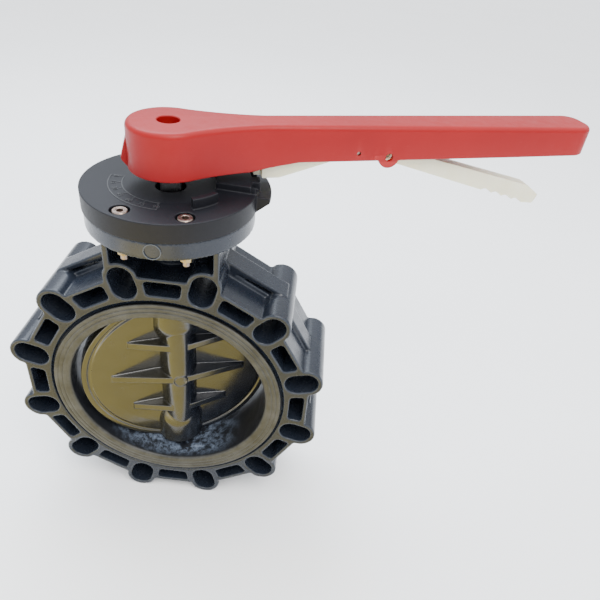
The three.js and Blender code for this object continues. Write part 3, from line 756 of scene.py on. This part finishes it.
def build_scale():
    """The dial band: a border, ticks and generic numbers of degrees."""
    top = PLATE_TOP
    inner, outer = 51.5, 65.0
    meshes = [
        extrude([sector(outer, outer + 0.9, 178, 272)], top - 0.3, top + 0.45),
        extrude([sector(inner - 0.9, inner, 178, 272)], top - 0.3, top + 0.45),
    ]
    for angle in (178.4, 271.6):
        meshes.append(extrude([sector(inner, outer, angle - 0.4, angle + 0.4, 2)], top - 0.3, top + 0.45))
    for step in range(7):
        angle = 180 + step * 15
        meshes.append(extrude([sector(inner + 0.4, inner + 4.2, angle - 0.45, angle + 0.45, 2)], top - 0.3, top + 0.4))
        number = text_mesh(str(step * 15), 7.6, 0.5)
        middle = math.radians(angle)
        where = Vector((59.8 * math.cos(middle), 59.8 * math.sin(middle), top + 0.2)) * MM
        number.transform(Matrix.Translation(where) @ Matrix.Rotation(middle + math.pi / 2, 4, "Z"))
        meshes.append(number)
    dress(merge("dial_marks", meshes), "ink", "body", "black_plastic")


def build_fasteners():
    """The four screws of the index plate with their washers and nuts."""
    for i, (sx, sy) in enumerate([(-1, -1), (1, -1), (1, 1), (-1, 1)]):
        where = Matrix.Translation((sx * SCREW_X * MM, sy * SCREW_Y * MM, 0))
        head = lathe([(7.6, 264.3), (8.0, 264.7), (8.0, 270.6), (7.2, 271.5), (4.6, 271.5), (4.2, 271.1)], 48)
        shank = lathe([(3.2, 215.0), (3.9, 216.0), (3.9, 265)], 24)
        obj = merge(f"socket_screw_{i + 1}", [head, shank])
        key = [(3.9 * math.cos(math.radians(a)), 3.9 * math.sin(math.radians(a))) for a in range(0, 360, 60)]
        cut(obj, merge("key", [extrude([key], 267.3, 275)]))
        obj.data.transform(where)
        smooth_by_angle(obj)
        dress(obj, "fastener_steel", "body", "fastener_steel", f"plate_screw_{i + 1}")
        washer = lathe([(4.3, 228.0), (8.3, 228.0), (8.5, 228.3), (8.5, 229.5), (8.3, 229.7), (4.3, 229.7)], 40, closed=True)
        washer.transform(where)
        dress(merge(f"nut_washer_{i + 1}", [washer]), "brass", "body", "brass", f"plate_washer_{i + 1}")
        hexagon = [(6.5 * math.cos(math.radians(a)), 6.5 * math.sin(math.radians(a))) for a in range(30, 390, 60)]
        nut = merge(f"hex_nut_{i + 1}", [extrude([hexagon, circle(4.3, 24)], 221.2, 227.7)])
        nut.data.transform(where)
        soft_edges(nut, 0.5, 2)
        dress(nut, "brass", "body", "brass", f"plate_nut_{i + 1}")


def smooth_by_angle(obj, degrees=30):
    """Smooth faces with sharp edges kept where they fold by more than an angle."""
    smooth_faces(obj)
    bm = bmesh.new()
    bm.from_mesh(obj.data)
    for edge in bm.edges:
        fold = edge.calc_face_angle(0.0)
        edge.smooth = fold < math.radians(degrees)
    bm.to_mesh(obj.data)
    bm.free()


# ---- handle -------------------------------------------------------------------------------

HUB_R = 43.5
ARM_START = 105.0
ARM_START_HALF = 18.6
ARM_END_HALF = 26.3
TIP = 514.0
TIP_CORNER = 20.0
BOTTOM = [(-60, 290.5), (84, 290.5), (138, 300), (230, 301.5), (404, 304.5), (524, 307)]


def bezier(p0, p1, p2, p3, count):
    points = []
    for i in range(1, count):
        t = i / count
        a, b, c, d = (1 - t) ** 3, 3 * (1 - t) ** 2 * t, 3 * (1 - t) * t * t, t ** 3
        points.append(tuple(a * u + b * v + c * w + d * x for u, v, w, x in zip(p0, p1, p2, p3)))
    return points


def handle_plan(inset=0.0):
    """Plan of the handle, the same number of points for every inset."""
    hub, corner, tip = HUB_R - inset, TIP_CORNER - inset, TIP - inset
    start_half, end_half = ARM_START_HALF - inset, ARM_END_HALF - inset
    leave = math.radians(65)
    hub_point = (hub * math.cos(leave), hub * math.sin(leave))
    pull = (hub_point[0] + 24 * math.sin(leave), hub_point[1] - 24 * math.cos(leave))
    arm = (ARM_START, start_half)
    waist = bezier(hub_point, pull, (75, start_half + 1.8), arm, 16)
    run = [(ARM_START + (TIP - TIP_CORNER - ARM_START) * i / 24,
            start_half + (end_half - start_half) * i / 24) for i in range(25)]
    upper = waist + run + list(reversed(arc(tip - corner, end_half - corner, corner, 0, math.pi / 2, 10)))[1:]
    below = [(x, -y) for x, y in upper]
    return arc(0, 0, hub, leave, 2 * math.pi - leave, 64) + below + list(reversed(upper))


def bottom_height(s):
    for (s0, z0), (s1, z1) in zip(BOTTOM, BOTTOM[1:]):
        if s <= s1:
            t = (s - s0) / (s1 - s0)
            return z0 + (z1 - z0) * t
    return BOTTOM[-1][1]


def handle_shell():
    """A hollow shell: the rings run from the inner roof, round the rim, to the outer top."""
    wall, roof, crown = 4.5, HANDLE_TOP - 5.0, 6.0
    outer_plan = handle_plan(0)
    lows = [bottom_height(s) for s, _ in outer_plan]
    rings = [(wall, None, roof), (wall - 0.4, 0.9, None), (wall - 1.3, 0.0, None), (1.0, 0.0, None), (0.0, 1.0, None)]
    for i in range(9):
        turn = math.radians(90 * i / 8)
        rings.append((crown * (1 - math.cos(turn)), None, HANDLE_TOP - crown + crown * math.sin(turn)))
    bm = bmesh.new()
    rows = []
    for inset, above, level in rings:
        plan = handle_plan(inset)
        heights = [level if level is not None else low + above for low in lows]
        rows.append([bm.verts.new((x * MM, y * MM, z * MM)) for (x, y), z in zip(plan, heights)])
    count = len(outer_plan)
    for a, b in zip(rows, rows[1:]):
        for i in range(count):
            j = (i + 1) % count
            bm.faces.new((a[i], a[j], b[j], b[i]))
    bm.faces.new(list(reversed(rows[0])))
    bm.faces.new(rows[-1])
    bmesh.ops.remove_doubles(bm, verts=bm.verts, dist=1e-7)
    bmesh.ops.recalc_face_normals(bm, faces=bm.faces)
    mesh = bpy.data.meshes.new("shell")
    bm.to_mesh(mesh)
    bm.free()
    return mesh


def build_handle():
    eye_x, eye_z, eye_r = 243.5, 305.5, 12.5
    handle = merge("handle_shell", [handle_shell()])
    parts = []
    for side in (-1, 1):
        half = ARM_START_HALF + (ARM_END_HALF - ARM_START_HALF) * (eye_x - ARM_START) / (TIP - ARM_START)
        inner, outer = sorted((side * (half - 4.4), side * (half + 0.05)))
        eye = [(eye_x - eye_r - 6, 303)] + arc(eye_x, eye_z, eye_r, math.pi * 1.1, math.pi * 1.9, 24)
        eye += [(eye_x + eye_r + 6, 303), (eye_x + eye_r + 6, 308), (eye_x - eye_r - 6, 308)]
        parts.append(extrude([eye], inner, outer, upright=True))
    parts.append(extrude([circle(20, 48), [(x, y) for x, y in ((-11.8, -11.8), (11.8, -11.8), (11.8, 11.8), (-11.8, 11.8))]],
                         291, 318))
    parts.append(extrude([circle(20, 48)], 317.5, 337.5))
    parts.append(extrude([[(-42, 290.6), (-49, 300), (-49.5, 303), (-42, 330)]], -3.5, 3.5, upright=True))
    for part in parts:
        tool = merge("addition", [part])
        boolean = handle.modifiers.new("join", "BOOLEAN")
        boolean.operation = "UNION"
        boolean.solver = "EXACT"
        boolean.object = tool
        settle(handle)
        bpy.data.objects.remove(tool)
    cut(handle, merge("bolt_access", [lathe([(11.8, 321), (11.8, 340.2), (12.8, 341.2), (13, 345)], 64)]))
    cut(handle, merge("bolt_hole", [lathe([(5.6, 316), (5.6, 323)], 32)]))
    for x, z, r in ((206.0, 310.0, 2.5), (eye_x, eye_z, 4.75)):
        drill = lathe([(r, -40), (r, 40)], 40, along_y=True)
        drill.transform(Matrix.Translation((x * MM, 0, z * MM)))
        cut(handle, merge("drill", [drill]))
    smooth_by_angle(handle, 32)
    turn_to_rest(handle)
    dress(handle, "red_plastic", "lever", "red_plastic", "handle")


# ---- trigger ------------------------------------------------------------------------------

def trigger_side():
    """Side outline of the trigger, from its nose along the lower edge to the grip and back."""
    points = [(98.5, 296), (98.5, 279), (118, 279), (150, 288.5), (192, 301.5), (240, 299), (257, 294)]
    radii = [1, 1.6, 8, 20, 16, 14, 12]
    (x0, z0), (x1, z1) = (386, 256), (453, 236)
    for i in range(4):
        for step in (0, 0.1, 0.22, 0.36, 0.5, 0.64, 0.78, 0.9):
            t = (i + step) / 4
            points.append((x0 + (x1 - x0) * t, z0 + (z1 - z0) * t + 14 * step * (1 - step)))
            radii.append(0)
    points += [(453, 236), (471, 234), (476, 246), (456, 259.5), (305, 298.7), (250, 316), (206, 320), (166, 316), (124, 297)]
    radii += [0, 3.5, 3.5, 6, 30, 20, 20, 16, 10]
    return rounded(points, radii, 6)


def build_trigger():
    side = trigger_side()
    trigger = merge("trigger_lever", [extrude([side], -10, 10, upright=True)])
    latch = merge("latch", [slab(90.5, 104, -4.2, 4.2, 280.6, 285.5)])
    boolean = trigger.modifiers.new("join", "BOOLEAN")
    boolean.operation = "UNION"
    boolean.solver = "EXACT"
    boolean.object = latch
    settle(trigger)
    bpy.data.objects.remove(latch)
    cut(trigger, merge("spring_slot", [slab(197, 215, -5.5, 5.5, 303.7, 330)]))
    for x, z, r in ((206.0, 310.0, 2.6), (243.5, 305.5, 5.95)):
        drill = lathe([(r, -20), (r, 20)], 32, along_y=True)
        drill.transform(Matrix.Translation((x * MM, 0, z * MM)))
        cut(trigger, merge("drill", [drill]))
    bevel = trigger.modifiers.new("edges", "BEVEL")
    bevel.width = 1.4 * MM
    bevel.segments = 3
    bevel.limit_method = "ANGLE"
    bevel.angle_limit = math.radians(50)
    settle(trigger)
    smooth_by_angle(trigger, 35)
    turn_to_rest(trigger)
    dress(trigger, "white_plastic", "trigger", "white_plastic", "trigger")


# ---- carried-over nodes, floor, light and camera --------------------------------------------

def dress_nodes():
    """Better materials for the small CAD parts that stay."""
    slots = {part["node"]: part["material_slot"] for part in frame["record"]["subparts"]}
    for name, obj in frame["nodes"].items():
        if obj.hide_render:
            continue
        material = MATERIALS[slots[name]]
        if not obj.data.materials:
            obj.data.materials.append(material)
        for entry in obj.material_slots:
            entry.link = "OBJECT"
            entry.material = material


def build_stage():
    size = 40.0
    mesh = bpy.data.meshes.new("floor")
    low = BODY_LOW[2] * MM
    corners = [(-size, -size, low), (size, -size, low), (size, size, low), (-size, size, low)]
    mesh.from_pydata(corners, [], [(0, 1, 2, 3)])
    floor = link("floor", mesh)
    f = Finish("floor")
    f.color(f.ramp(f.noise(2, 2), [(0.3, (0.93, 0.93, 0.93)), (0.7, (0.95, 0.95, 0.95))]))
    f.constant(Roughness=0.8)
    mesh.materials.append(f.material)
    olive_card()


def olive_card():
    """A warm card lying in front, unseen by the camera, for the glossy faces to reflect."""
    level = (BODY_LOW[2] + 0.5) * MM
    mesh = bpy.data.meshes.new("olive_card")
    corners = [(-0.55, -0.80, level), (0.30, -0.80, level), (0.30, -0.13, level), (-0.55, -0.13, level)]
    mesh.from_pydata(corners, [], [(0, 1, 2, 3)])
    card = link("olive_card", mesh)
    card.visible_camera = False
    card.visible_shadow = False
    card.visible_diffuse = False
    f = Finish("olive_card")
    f.color(f.ramp(f.noise(3, 2), [(0.3, (0.30, 0.24, 0.06)), (0.7, (0.36, 0.29, 0.08))]))
    f.constant(Roughness=0.8, Emission_Color=(1.0, 0.80, 0.22, 1), Emission_Strength=1.5)
    mesh.materials.append(f.material)
    return card


def area_light(name, at, target, size, power, color):
    data = bpy.data.lights.new(name, "AREA")
    data.shape = "RECTANGLE"
    data.size, data.size_y = size
    data.energy = power
    data.color = color
    obj = link(name, data)
    obj.visible_camera = False
    obj.location = at
    obj.rotation_euler = (Vector(target) - Vector(at)).to_track_quat("-Z", "Y").to_euler()


def build_light():
    world = bpy.data.worlds.new("studio")
    bpy.context.scene.world = world
    world.use_nodes = True
    shade = world.node_tree.nodes["Background"]
    shade.inputs["Color"].default_value = (0.93, 0.96, 1.0, 1)
    coordinates = world.node_tree.nodes.new("ShaderNodeTexCoord")
    direction = world.node_tree.nodes.new("ShaderNodeSeparateXYZ")
    height = world.node_tree.nodes.new("ShaderNodeMapRange")
    for key, value in (("From Min", 0.0), ("From Max", 0.9), ("To Min", 0.55), ("To Max", 3.0)):
        height.inputs[key].default_value = value
    links = world.node_tree.links
    links.new(coordinates.outputs["Generated"], direction.inputs["Vector"])
    links.new(direction.outputs["Z"], height.inputs["Value"])
    links.new(height.outputs["Result"], shade.inputs["Strength"])
    centre = (0.05, 0, 0.1)
    area_light("sky", (-0.6, 0.9, 1.9), centre, (1.8, 1.2), 62, (0.80, 0.89, 1.0))
    area_light("key", (0.7, -1.0, 1.9), centre, (1.0, 1.0), 34, (1.0, 0.97, 0.93))
    area_light("warm_low", (-0.25, -0.62, -0.17), (0.0, 0.0, -0.02), (0.9, 0.22), 2, (1.0, 0.82, 0.38))


def build_camera():
    """The camera's direction is given by azimuth, elevation and roll, and its place by the slot circle."""
    azimuth, elevation, roll = math.radians(-0.54), math.radians(36.03), math.radians(6.91)
    radius = SLOT_CIRCLE * MM
    place = Vector((0.855, -3.198, 3.095)) * radius
    back = Vector((math.sin(azimuth) * math.cos(elevation), -math.cos(azimuth) * math.cos(elevation), math.sin(elevation)))
    right = Vector((math.cos(azimuth), math.sin(azimuth), 0))
    up = back.cross(right)
    across = math.cos(roll) * right + math.sin(roll) * up
    upward = -math.sin(roll) * right + math.cos(roll) * up
    data = bpy.data.cameras.new("camera")
    data.sensor_width = 36
    data.lens = 33.65
    camera = link("camera", data)
    axes = Matrix((across, upward, back)).transposed()
    camera.matrix_world = Matrix.Translation(place) @ axes.to_4x4()
    bpy.context.scene.camera = camera


build_camera()
build_stage()
build_light()
build_body()
build_liner()
build_disc()
build_plate()
build_fasteners()
build_handle()
build_trigger()
dress_nodes()
